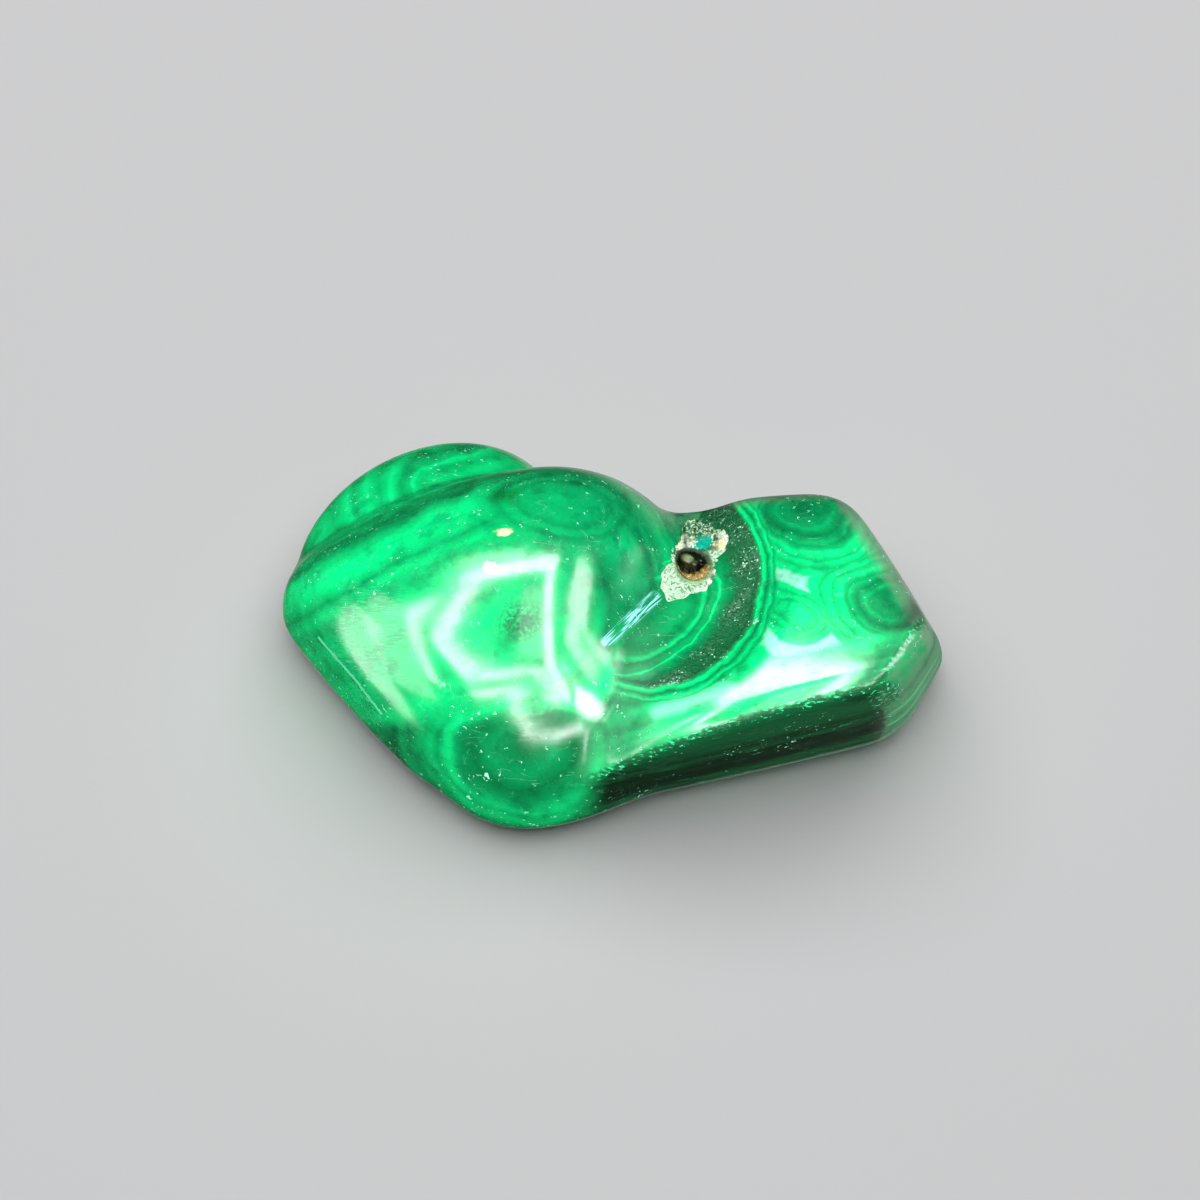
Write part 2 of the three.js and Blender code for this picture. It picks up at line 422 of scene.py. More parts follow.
def crust_height(a, b, bare):
    """Height of the crust's top over the pit's middle plane. A chalky film follows the bare skin,
    beads stand on it, and inside the mouth it drops by depth (1 - share^4)."""
    share, mouth = outline_share(a, b), mouth_share(a, b)
    spots = np.stack([a, b, np.zeros_like(a)], -1).reshape(-1, 3)
    grain = value_noise(spots, 0.16, 3) * FINE_GRAIN + value_noise(spots, 0.45, 4) * COARSE_GRAIN
    grain = grain.reshape(a.shape)
    film = bare + EDGE_THICKNESS + (FILM_THICKNESS + grain) * (1 - smooth(0.8, 1.0, share))
    film += LIP_HEIGHT * bell(mouth, 1.08, 0.08)
    beads = beads_height(a, b, crust_beads())
    outside = np.maximum(film, np.where(mouth > 1, beads + bare, NOTHING_THERE))
    inside = bare - PIT_DEPTH * (1 - np.clip(mouth, 0, 1) ** 4) + grain
    inside = np.maximum(inside, beads + bare)
    return np.where(mouth < 1, np.minimum(inside, outside), outside)


def bare_height(a, b):
    """Height of the stone's skin over the pit's middle plane, before the pit is taken out."""
    across, up, out = pit_axes()
    spots = PIT_MIDDLE + a.reshape(-1, 1) * across + b.reshape(-1, 1) * up
    start = spots - out * BELOW_SKIN
    skin = reach_skin(start, np.broadcast_to(out, start.shape))
    return ((skin - PIT_MIDDLE) @ out).reshape(a.shape)


def build_crust():
    """The crust as one closed surface: rings of spokes from the pit's middle to the outline on top,
    and back again underneath. Colour and gloss are worked out for each corner."""
    across, up, out = pit_axes()
    turn = np.linspace(0, 2 * math.pi, CRUST_SPOKES, endpoint=False)
    share = np.concatenate([
        np.linspace(0, 1, CRUST_RINGS + 1)[1:], np.linspace(1, 0, UNDERSIDE_RINGS + 2)[1:-1]])
    reach = share[:, None] / outline_share(np.cos(turn), np.sin(turn))
    a, b = reach * np.cos(turn), reach * np.sin(turn)
    bare = bare_height(a, b)
    height = crust_height(a, b, bare)
    under_mouth = 1 - smooth(0.9, 1.3, mouth_share(a, b))
    underside = bare - UNDERSIDE_DEPTH - (PIT_DEPTH + UNDER_LINING) * under_mouth
    height[CRUST_RINGS:] = underside[CRUST_RINGS:]
    rings = PIT_MIDDLE + a[..., None] * across + b[..., None] * up + height[..., None] * out
    middle = np.zeros((1, 1))
    top = crust_height(middle, middle, bare_height(middle, middle))[0, 0]
    poles = PIT_MIDDLE + np.array([[top], [-PIT_DEPTH - UNDER_POLE]]) * out
    k = np.arange(a.size).reshape(a.shape)
    ahead = np.roll(k, -1, axis=1)
    quads = np.stack([k[:-1], k[1:], ahead[1:], ahead[:-1]], -1).reshape(-1, 4)
    edges = ((a.size, k[0], ahead[0]), (a.size + 1, ahead[-1], k[-1]))
    caps = [(pole, *pair) for pole, one, other in edges for pair in zip(one.tolist(), other.tolist())]
    made = add_mesh("crust", np.concatenate([rings.reshape(-1, 3), poles]), quads.tolist() + caps)
    store_crust_looks(made.data, np.append(a, [0, 0]), np.append(b, [0, 0]))
    return made


def store_crust_looks(mesh, a, b):
    """Stores each corner's colour and roughness, by where it lies in the pit and on the crust."""
    spots = np.stack([a, b, np.zeros_like(a)], -1)
    fine, coarse = value_noise(spots, 0.14, 11), value_noise(spots, 0.5, 12)
    share, mouth = outline_share(a, b), mouth_share(a, b)

    def paint(colour, weight):
        nonlocal tint
        tint = tint * (1 - weight[:, None]) + np.array(linear(*colour)) * weight[:, None]

    tint = np.tile(linear(*CHALK), (len(a), 1))
    paint(PALE_CHALK, smooth(-0.1, 0.5, fine) * 0.6)
    paint(GREY_CHALK, smooth(0.2, 0.7, coarse) * 0.5)
    paint(CHALK_PORE, smooth(0.32, 0.7, -fine) * 0.8)
    crumbs = smooth(1.3, 1.9, b) * (mouth > 1)
    paint(CRUMB, crumbs * smooth(-0.5, 0.1, coarse + 0.3))
    paint(CRUMB_GAP, crumbs * smooth(0.1, 0.45, -coarse) * 0.9)
    teal = bell(a, 1.45, 0.85) * bell(b, 2.8, 1.5)
    teal += bell(a, 3.7, 0.35) * bell(b, 2.2, 1.2) * 0.8
    paint(TEAL, crumbs * smooth(0.36, 0.56, teal + fine * 0.35 + coarse * 0.4))
    gap = bell(a - 0.1 * b, 2.35, 0.16) + bell(a, -0.5, 0.3)
    paint(TEAL_GAP, crumbs * np.clip(gap * (0.8 + coarse), 0, 1) * 0.9)
    paint(CREAM_CRYSTAL, crumbs * bell(a, 2.95, 0.42) * bell(b, 2.1, 0.5))
    rim = smooth(0.86, 0.93, share) * crumbs * (a > 0.8)
    paint(PALE_RIM, rim * smooth(-0.5, 0.2, fine))
    far = smooth(3.6, 4.4, b + 0.5 * coarse)
    paint(FAR_GREEN, far * 0.9)
    paint(FAR_PORE, far * smooth(0.15, 0.5, -fine) * 0.9)
    paint(FAR_CRUMB, far * smooth(0.25, 0.5, fine) * 0.85)
    from_ring = np.hypot(a - RING_MIDDLE[0], (b - RING_MIDDLE[1]) * 0.8)
    paint(WHITE_CRYSTAL, bell(from_ring, 0.58, 0.28) * (mouth > 1) * 0.95)
    # Painted shade standing in for the hole inside the ring of crystals
    paint(RING_HOLE_PAINTED_SHADE, bell(from_ring, 0, 0.3) * (mouth > 1) * 0.9)
    lip = bell(mouth, 1.04, 0.1) * (1 - crumbs)
    paint(LIP, lip * 0.85)
    lower_lip = bell(mouth, 1.14, 0.15) * smooth(0.0, 1.0, -b)
    paint(LOWER_LIP, lower_lip * 0.9)
    # Painted shade: the lip darker towards its left
    paint(PAINTED_LIP_SHADE, lip * smooth(-0.4, -1.2, a) * 0.9)
    inside = 1 - smooth(0.9, 1.04, mouth)
    # The pit's inside painted near black: the lining's own colour deepened with painted shade
    paint(LINING_WITH_PAINTED_SHADE, inside)
    gold = inside * smooth(-0.1, 0.22, -b / PIT_HALF[1]) * smooth(-0.5, 0.1, coarse + 0.5)
    paint(GOLD, gold * 0.95)
    paint(KNOB, inside * bell(a, -0.2, 0.7) * bell(b, 1.1, 0.5) * 0.9)
    # Painted highlight: white glints on the lower part of the lining
    paint(PAINTED_GLINT, inside * smooth(0.5, 0.75, fine) * smooth(0.2, 0.6, -b) * 0.95)
    tint = tint * CRUST_BODY
    rough = 0.75 - 0.62 * inside - 0.4 * lower_lip + 0.1 * fine
    colours = np.concatenate([np.clip(tint, 0, 1), np.clip(rough, 0.08, 1)[:, None]], axis=1)
    attribute = mesh.attributes.new("crust_looks", "FLOAT_COLOR", "POINT")
    attribute.data.foreach_set("color", colours.astype(np.float32).ravel())


def linear(red, green, blue):
    """A colour given as 0 to 255 display values, as light."""
    value = np.array([red, green, blue]) / 255
    return tuple(np.where(value <= 0.04045, value / 12.92, ((value + 0.055) / 1.055) ** 2.4))


# Material fields

class Field:
    """A value, vector or colour in a material. Arithmetic on it adds the matching node."""

    def __init__(self, tree, socket):
        self.tree = tree
        self.socket = socket

    @property
    def is_vector(self):
        return self.socket.type in ("VECTOR", "RGBA")

    def maths(self, operation, *others, output=0):
        """One Math or Vector Math node on this field and the others."""
        kind = "ShaderNodeVectorMath" if self.is_vector else "ShaderNodeMath"
        inputs = dict(enumerate((self, *others)))
        return add_node(self.tree, kind, {"operation": operation}, inputs, output)

    def __add__(self, other):
        return self.maths("ADD", other)

    __radd__ = __add__

    def __sub__(self, other):
        return self.maths("SUBTRACT", other)

    def __rsub__(self, other):
        return self.maths("MULTIPLY", (-1, -1, -1) if self.is_vector else -1) + other

    def __mul__(self, other):
        if self.is_vector and isinstance(other, Field) and not other.is_vector:
            return add_node(
                self.tree, "ShaderNodeVectorMath", {"operation": "SCALE"}, {0: self, "Scale": other})
        if self.is_vector and isinstance(other, (int, float)):
            other = (other,) * 3
        return self.maths("MULTIPLY", other)

    __rmul__ = __mul__

    def __truediv__(self, other):
        return self.maths("DIVIDE", other)

    def minimum(self, other):
        return self.maths("MINIMUM", other)

    def maximum(self, other):
        return self.maths("MAXIMUM", other)

    def size(self):
        return self.maths("LENGTH", output="Value") if self.is_vector else self.maths("ABSOLUTE")

    def dot(self, other):
        return self.maths("DOT_PRODUCT", other, output="Value")

    def step(self, low, high):
        """0 below low, 1 above high, smooth between; falls instead where low is above high."""
        falls = low > high
        return add_node(
            self.tree, "ShaderNodeMapRange", {"interpolation_type": "SMOOTHSTEP"},
            {"Value": self, "From Min": min(low, high), "From Max": max(low, high),
             "To Min": float(falls), "To Max": float(not falls)})

    def hump(self, middle, half):
        """1 at the middle, 0 at the half width away from it and beyond."""
        return (self - middle).size().step(half, 0)


def plug(tree, socket, value):
    """Links a field to an input, or sets the input to a number, vector or colour."""
    if isinstance(value, Field):
        tree.links.new(value.socket, socket)
    elif socket.type == "RGBA" and len(value) == 3:
        socket.default_value = (*value, 1.0)
    else:
        socket.default_value = value


def add_node(tree, kind, settings=None, inputs=None, output=0):
    """Adds one node with its settings and inputs, and returns the wanted output."""
    made = tree.nodes.new(kind)
    for name, value in (settings or {}).items():
        setattr(made, name, value)
    for key, value in (inputs or {}).items():
        plug(tree, made.inputs[key], value)
    return Field(tree, made.outputs[output])


def mixed(a, b, share):
    """Colour a where share is 0, colour b where it is 1. At least one of the three is a field."""
    tree = next(item.tree for item in (share, a, b) if isinstance(item, Field))
    return add_node(
        tree, "ShaderNodeMix", {"data_type": "RGBA", "clamp_factor": True},
        {0: share, 6: a, 7: b}, output=2)


def banded(distance, stops):
    """Colours along a distance in millimetres, from (distance, colour) stops."""
    low, high = stops[0][0], stops[-1][0]
    made = distance.tree.nodes.new("ShaderNodeValToRGB")
    ramp = made.color_ramp
    while len(ramp.elements) < len(stops):
        ramp.elements.new(0.5)
    for element, (place, _) in zip(ramp.elements, stops):
        element.position = (place - low) / (high - low)
    for element, (_, colour) in zip(ramp.elements, stops):
        element.color = (*colour, 1.0)
    plug(distance.tree, made.inputs[0], (distance - low) / (high - low))
    return Field(distance.tree, made.outputs[0])


def noise(place, scale, detail, output=0):
    """Smooth noise round 0.5 that changes over 1 / scale millimetres."""
    return add_node(
        place.tree, "ShaderNodeTexNoise", {"noise_dimensions": "3D"},
        {"Vector": place, "Scale": scale, "Detail": detail}, output)


def tinted(colour, factor, share):
    """The colour times a factor where share is 1, as it was where share is 0."""
    return mixed(colour, colour * factor, share)


def bumped(height):
    """The normal of a surface with the given height in millimetres."""
    return add_node(
        height.tree, "ShaderNodeBump", None,
        {"Height": height, "Distance": MM, "Strength": 1.0}, "Normal")


def combined(x, y, z):
    """A vector from three values."""
    return add_node(x.tree, "ShaderNodeCombineXYZ", None, {0: x, 1: y, 2: z})


def mass_field(place, centre, radii, yaw, pitch):
    """The distance to an ellipsoid, nearly: (|q| - 1) times its middle radius."""
    offset = place - tuple(centre)
    parts = [offset.dot(tuple(axis)) / radius for axis, radius in zip(axes_of(yaw, pitch), radii)]
    return (combined(*parts).size() - 1) * radii[1]


def face_field(place, through, facing, crown):
    """Distance to a worn face, negative on the stone's side."""
    return (place - tuple(face_centre(through, facing, crown))).size() - crown


def green(*shown):
    """A colour of the polished stone, given as it looks under the studio's light."""
    return tuple(float(v) * BODY for v in linear(*shown))


MINT = green(150, 252, 212)
NEON = green(5, 236, 134)
BRIGHT = green(5, 214, 119)
MID = green(5, 190, 106)
LEAF = green(4, 165, 92)
DEEP = green(3, 140, 79)
DARK = green(3, 112, 60)
SHADE = green(5, 84, 44)
NIGHT = green(2, 46, 20)
BLACK = green(1, 26, 8)

# Colours by distance in millimetres from the middle or edge of what the bands grew round
NODULE_BANDS = (
    (-5.0, LEAF), (-4.2, DEEP), (-3.6, LEAF), (-3.1, LEAF), (-2.8, MID), (-2.5, LEAF),
    (-2.1, DEEP), (-1.8, LEAF), (-1.5, MID), (-1.3, LEAF), (-1.05, MID), (-0.75, NEON),
    (-0.45, BRIGHT), (-0.2, MID), (0.05, NEON), (0.3, BRIGHT), (0.5, MID), (0.7, BRIGHT),
    (0.9, NEON), (1.2, NEON), (1.5, MINT), (2.3, MINT), (2.9, NEON), (3.6, BRIGHT), (4.4, NEON),
    (5.2, BRIGHT), (6.2, MID), (7.2, NEON), (8.2, MID), (9.6, LEAF), (11.0, LEAF),
)
DOME_BANDS = (
    (0.0, BRIGHT), (2.6, MID), (4.4, BRIGHT), (6.4, MID), (7.4, MID), (8.2, BRIGHT), (8.9, MID),
    (9.3, LEAF), (9.7, MID), (10.4, BRIGHT), (11.2, NEON), (12.2, NEON), (12.8, BRIGHT),
    (13.3, LEAF), (13.7, DEEP), (14.2, MID), (14.6, LEAF), (15.3, MID), (15.9, BRIGHT),
    (16.3, MID), (16.6, BRIGHT), (16.9, LEAF), (17.8, MID), (19.5, LEAF), (22.0, MID),
)
FRONT_BANDS = (
    (0.0, DEEP), (1.6, DARK), (3.0, DEEP), (4.4, DARK), (5.6, DEEP), (6.3, LEAF), (7.0, MID),
    (7.6, LEAF), (8.2, MID), (8.8, LEAF), (9.4, LEAF), (10.2, DEEP), (11.2, LEAF), (12.0, DARK),
    (13.2, DEEP), (15.0, DARK), (17.0, SHADE),
)
PETAL_BANDS = (
    (-3.2, BRIGHT), (-2.2, MID), (-1.2, MID), (-0.5, LEAF), (-0.1, MID), (0.2, MID), (0.5, LEAF),
    (1.2, MID), (1.8, LEAF), (2.4, MID),
)
BACK_BANDS = (
    (0.0, BRIGHT), (0.9, MID), (1.5, BRIGHT), (1.8, NEON), (2.2, MID), (3.2, LEAF), (4.0, BRIGHT),
    (4.6, NEON), (5.0, BRIGHT), (5.8, MID), (6.6, BRIGHT), (7.2, NEON), (7.7, BRIGHT), (8.6, MID),
    (9.4, NEON), (10.2, BRIGHT), (11.4, MID), (12.6, BRIGHT), (14.0, BRIGHT), (16.0, LEAF),
)
SLOPE_BANDS = (
    (-9.5, NEON), (-6.4, BRIGHT), (-5.3, NEON), (-4.3, BRIGHT), (-3.7, MID), (-3.4, MID),
    (-3.0, NEON), (-2.4, BRIGHT), (-2.0, NEON), (-1.5, MID), (-1.1, BRIGHT), (-0.8, LEAF),
    (-0.4, DARK),
)
# The front wall's stripes: real stripes made dark with painted shade
WALL_BANDS = (
    (0.0, DARK), (1.4, DEEP), (2.2, SHADE), (3.0, DARK), (3.9, NIGHT), (5.2, SHADE), (6.0, NIGHT),
    (7.4, BLACK), (9.0, NIGHT), (10.2, BLACK), (11.4, SHADE), (12.2, NIGHT), (15.0, SHADE),
)
END_BANDS = (
    (0.0, DEEP), (2.2, DARK), (3.2, DEEP), (3.6, MID), (3.9, DARK), (5.4, SHADE), (6.4, DEEP),
    (6.8, BRIGHT), (7.2, DEEP), (8.4, DARK), (9.6, LEAF), (10.0, BRIGHT), (10.5, DARK),
    (12.4, DEEP), (14.0, SHADE), (16.0, DEEP),
)
HOLLOW_BANDS = (
    (0.0, DEEP), (1.8, LEAF), (2.6, DEEP), (3.0, LEAF), (3.2, BRIGHT), (3.35, BRIGHT), (3.55, DEEP),
    (3.95, LEAF), (4.2, LEAF), (4.35, NEON), (4.5, LEAF), (5.0, DEEP), (5.8, DARK), (9.5, DARK),
)
RIM_BANDS = (
    (10.6, DARK), (11.6, SHADE), (12.0, LEAF), (12.2, NEON), (12.4, BRIGHT), (12.65, DEEP),
    (12.9, MID), (13.1, NEON), (13.35, LEAF), (13.7, BRIGHT), (14.6, MID),
)

# Places seen along the growth columns, in millimetres: side and level of a start, heading, length
CREST_LINE = ((-9.5, 7.0), (-0.891, -0.454), 25.0)
HAIRPIN_LINE = ((-19.5, 19.9), (0.95, 0.31), 60.0)
CREASE_LINE = ((3.2, 2.4), (-0.26, -0.966), 10.0)
NOTCH_LINE = ((-1.0, -6.4), (-0.25, -0.97), 4.5)
SADDLE_LINE = ((1.5, -7.2), (1.0, 0.12), 5.5)
# A painted highlight: pale line along the top of the front slope
SEAM_HIGHLIGHT_LINE = ((4.5, -4.3), (0.948, 0.319), 8.0)
# A painted bluish reflection along the hollow's left border
REFLECTION_STREAK_LINE = ((-0.5, 3.0), (0.742, 0.67), 6.6)
# Painted highlights: thin pale lines along the shoulder on the dome's left
RIDGE_HIGHLIGHT_LINES = (((-31.1, 3.2), (0.68, -0.733), 6.7), ((-26.5, -1.9), (0.62, -0.784), 3.6))

# Centres there: side, level and distance along the columns, stretch of the three, radius
UPPER_NODULE = ((20.6, 16.4, 12.0), (0.72, 1.0, 0.2), 5.0)
RIGHT_NODULE = ((28.0, 7.0, 14.8), (0.8, 1.0, 0.2), 5.3)
SMALL_NODULE_RADIUS = 2.3
SMALL_NODULE = ((18.5, 5.7, 16.0), (1.0, 1.0, 0.2), SMALL_NODULE_RADIUS)
UPPER_HEART = ((21.1, 14.6, 14.0), (0.7, 1.0, 0.3))
CREST_NODULE = ((-5.6, 17.2, 20.0), (0.55, 1.0, 0.3), 3.2)
CREST_SPOT = ((-11.2, 18.1, 20.0), (0.6, 1.0, 0.3))
FRONT_OVAL = ((-9.0, -8.0, 14.0), (0.85, 1.0, 0.2))
# Where painted shade darkens the dome beside the hollow
PAINTED_SHADE_BY_HOLLOW = ((1.5, 8.6, 20.0), (1.0, 0.7, 0.2))
BRUSHED_LEFT = ((-24.5, 3.5, 12.0), (1.0, 1.0, 0.1))
UPPER_PATCH = ((-11.3, 14.3, 24.0), (0.55, 1.25, 0.3))
LOWER_PATCH = ((-12.4, 10.5, 24.0), (0.9, 1.0, 0.3))
DULL_SPOT = ((-9.3, 5.0, 24.0), (0.8, 0.9, 0.2))

# The hollow's arcs: their middle, the tilt of their long axis in degrees and its stretch
ARC_MIDDLE = (4.66, 5.55, 12.0)
ARC_TILT = math.radians(39.7)
ARC_STRETCH = 1.8
RIM_MIDDLE = (3.9, 10.0, 0.0)
RIM_OFFSET = 0.35

# Bends of the bands: how often they turn in a millimetre, their detail and how far they reach
SWIRL = (0.085, 1.0, 3.4)
WAVE = (0.11, 0.0, 3.4)
WANDER = (0.3, 2.0, 1.1)
TREMBLE = (1.3, 2.0, 0.32)

# Colours of dust, wear and marks, and of painted highlights and a painted reflection
DUST = green(98, 150, 116)
END_DUST = green(92, 132, 104)
WORN = green(112, 142, 118)
CHIP = green(40, 232, 150)
CREST_DARK = green(6, 122, 44)
GRAIN = green(70, 130, 96)
SPECK = green(195, 235, 210)
FLECK = green(165, 255, 215)
CREAM = green(240, 236, 186)
PAINTED_BLUISH_REFLECTION = green(150, 225, 235)
PAINTED_RIDGE_HIGHLIGHT = green(110, 250, 190)
PAINTED_SEAM_HIGHLIGHT = green(150, 250, 215)
SPOT = green(30, 84, 56)
SCRATCH = green(120, 240, 185)

# Bump heights of the polished surface in millimetres
RIPPLES = 0.03
PORES = 0.12
SCRATCH_DEPTH = 0.008
FLECK_DEPTH = 0.02
POLISH_LINES = 0.003
CHIP_DEPTH = 0.025


# Places in the stone

def turned(field):
    """A place in the growth columns' frame: side, level and distance along the columns. They point
    at the camera, so that a mark is placed by its side and level as the photograph shows them."""
    rise = math.radians(CAMERA_RISE)
    upward = (0.0, math.sin(rise), math.cos(rise))
    along = (0.0, -math.cos(rise), math.sin(rise))
    return combined(field.dot((1.0, 0.0, 0.0)), field.dot(upward), field.dot(along))


def bends(place, scale, detail, reach):
    """A random offset that changes over 1 / scale millimetres."""
    return (noise(place, scale, detail, "Color") - (0.5, 0.5, 0.5)) * reach


def from_centre(field, centre, stretch, radius=0.0):
    """Distance to a growth centre, stretched along each direction, less its radius."""
    distance = ((field - centre) * stretch).size()
    return distance - radius if radius else distance


def from_line(field, start, heading, length):
    """Distance to a line of the given length, seen along the columns."""
    offset = (field - (*start, 0.0)) * (1.0, 1.0, 0.0)
    run = offset.dot((*heading, 0.0)).maximum(0.0).minimum(length)
    return (offset - combined(run * heading[0], run * heading[1], 0.0)).size()


class Places:
    """A point's place in the stone, straight or bent, in the scene's and in the columns' frame."""

    def __init__(self, tree):
        place = add_node(tree, "ShaderNodeTexCoord", None, None, "Object") * (1 / MM)
        self.place = place = place + tuple(FOOTPRINT_MIDDLE)
        swirl, wave, self.wander, self.tremble = (
            bends(place, *kind) for kind in (SWIRL, WAVE, WANDER, TREMBLE))
        small = self.wander + self.tremble
        self.grown = turned(place + small)
        self.loose = turned(place + small + swirl)
        self.waved = turned(place + small + wave)
        self.straight = turned(place)
        self.side = self.straight.dot((1.0, 0.0, 0.0))
        self.level = self.straight.dot((0.0, 1.0, 0.0))
        self.tall = place.dot((0.0, 0.0, 1.0))


class Zones:
    """Where the stone's parts, edges and worn places are, as shares from 0 to 1 or distances."""

    def __init__(self, at):
        self.dusty = noise(at.place, 0.9, 4.0).step(0.3, 0.62)
        self.find_squarish_end(at)
        self.find_dome_and_hollow(at)
        self.crease = from_line(at.straight, *CREASE_LINE).step(3.4, 1.2)
        self.notch = from_line(at.straight, *NOTCH_LINE).step(2.3, 0.7)
        self.saddle = from_line(at.straight, *SADDLE_LINE).step(2.8, 0.8) * 0.6

    def find_squarish_end(self, at):
        """Front wall, right end, worn rims and chipped edges, with ragged borders."""
        ragged = noise(at.place, 1.1, 3.0) - 0.5
        self.front, end, corner, back = (
            face_field(at.place, *face[:3]) for face in BLOCK_FACES[:4])
        top = mass_field(at.place, *BLOCK_TOP)
        wall_edge = self.front + ragged * 0.9
        self.on_wall = wall_edge.step(-0.48, -0.22) * at.side.step(-5.0, 0.0)
        self.on_end = (end + ragged * 1.2).step(-1.5, -0.8)
        near_brow = top.step(-4.5, -2.0)
        self.dark_rim = (end + ragged * 1.4).hump(-2.4, 2.0) * near_brow
        rim = (corner.maximum(back) + ragged * 1.6).step(-1.8, -0.4)
        self.worn_rim = rim * at.side.step(6.0, 10.0) * near_brow
        near_top = top.step(-9.0, -5.0)
        line = wall_edge.step(-1.0, -0.65) * wall_edge.step(-0.16, -0.36)
        self.front_edge = line * at.side.step(-6.0, 0.0) * near_top
        end_edge = (end + 1.5).hump(0.0, 0.6) * at.level.step(-6.0, -3.0) * near_top
        self.chipped = self.front_edge.maximum(end_edge)

    def find_dome_and_hollow(self, at):
        """The dome, the distances that the hollow's bands follow, and its porous border."""
        dome = mass_field(at.place, *DOME).maximum(face_field(at.place, *DOME_FACES[0][:3]))
        self.on_dome = (dome + at.tremble.dot((1.0, 0.0, 0.0))).step(0.55, 0.15)
        from_middle = at.grown - ARC_MIDDLE
        lengthwise = from_middle.dot((math.cos(ARC_TILT), math.sin(ARC_TILT), 0.0))
        sidewise = from_middle.dot((-math.sin(ARC_TILT), math.cos(ARC_TILT), 0.0))
        self.arcs = combined(lengthwise / ARC_STRETCH, sidewise, 0.0).size()
        self.from_rim = ((at.grown - RIM_MIDDLE) * (1.0, 1.0, 0.0)).size() + RIM_OFFSET
        in_hollow = self.from_rim.step(12.2, 11.7) * (1.0 - self.on_dome)
        self.porous = self.arcs.step(4.9, 5.8) * in_hollow * at.tall.step(7.0, 11.0)


# Bands and colours of the stone

def squarish_end_bands(at, zones):
    """Three nodules whose outer bands meet in a pale star, darkened down the sides by painted shade and
    darker at the far ones, and lines along the front slope."""
    upper, right, small = (
        from_centre(at.waved, *nodule) for nodule in (UPPER_NODULE, RIGHT_NODULE, SMALL_NODULE))
    colour = banded(upper.minimum(right).minimum(small), NODULE_BANDS)
    colour = mixed(colour, NEON, (small + SMALL_NODULE_RADIUS).step(2.1, 1.3))
    colour = mixed(colour, BRIGHT, from_centre(at.grown, *UPPER_HEART).step(0.9, 0.2))
    # Painted shade: the squarish end darker down its sides
    colour = tinted(colour, (0.05, 0.6, 0.3), at.tall.step(14.0, 8.0))
    right_side = at.side.step(23.0, 29.0) * at.level.step(-2.0, 4.0)
    colour = tinted(colour, (0.8, 0.68, 0.72), at.level.step(10.0, 16.0).maximum(right_side))
    slope = zones.front + at.wander.dot((0.5, 0.4, 0.4)) * 1.3 + at.tremble.dot((1.0, 1.0, 0.0))
    return mixed(colour, banded(slope, SLOPE_BANDS), slope.step(-6.2, -4.9))


def hollow_bands(zones):
    """Two bright arcs and a dark border, then thin lines along the hollow's rim."""
    return mixed(banded(zones.arcs, HOLLOW_BANDS), banded(zones.from_rim, RIM_BANDS),
                 zones.from_rim.step(11.3, 11.8))


def dome_bands(at, zones):
    """Bands along the dome's crest that close round its right end, where a small nodule sits."""
    colour = banded(from_line(at.loose, *CREST_LINE), DOME_BANDS)
    nodule = from_centre(at.waved, *CREST_NODULE)
    colour = mixed(colour, banded(nodule, PETAL_BANDS), nodule.step(2.4, 0.6))
    # Painted shade on the dome's right side
    colour = tinted(colour, (0.9, 0.66, 0.74), at.side.step(-13.0, -2.0) * at.level.step(1.0, 8.0))
    # Painted shade on the dome beside the hollow
    painted_shade_by_hollow = from_centre(at.grown, *PAINTED_SHADE_BY_HOLLOW).step(4.6, 1.0)
    colour = tinted(colour, (0.8, 0.56, 0.62), painted_shade_by_hollow)
    dark_spot = from_centre(at.grown, *CREST_SPOT).step(1.6, 0.2)
    colour = mixed(colour, CREST_DARK, dark_spot * 0.75)
    far_side = face_field(at.place, *DOME_FACES[1][:3]).step(-1.6, -0.4)
    colour = mixed(colour, DUST, far_side * zones.dusty * 0.6)
    lines = noise(at.straight * (0.6, 7.0, 1.0), 1.0, 3.0)
    brushed = from_centre(at.grown, *BRUSHED_LEFT).step(7.0, 3.5)
    # Polish lines on the dome's left: real lines, painted greyer and paler as a painted highlight
    colour = tinted(colour, (1.4, 0.66, 0.8), brushed * lines.step(0.46, 0.6) * 0.8)
    return mixed(colour, MINT, brushed * lines.step(0.42, 0.3) * 0.3)


def front_lobe_bands(at):
    """An oval nodule on the lobe in front, its outer ring brighter at the left and lower right."""
    oval = from_centre(at.loose, *FRONT_OVAL)
    colour = banded(oval, FRONT_BANDS)
    crescent = oval.hump(6.6, 0.9) * at.side.step(-13.0, -17.0) * at.level.step(-14.0, -10.5)
    colour = mixed(colour, NEON, crescent * 0.5)
    flame = oval.hump(7.0, 1.5) * at.side.step(-8.0, -5.0) * at.level.step(-8.0, -10.0)
    return mixed(colour, NEON, flame * 0.2)


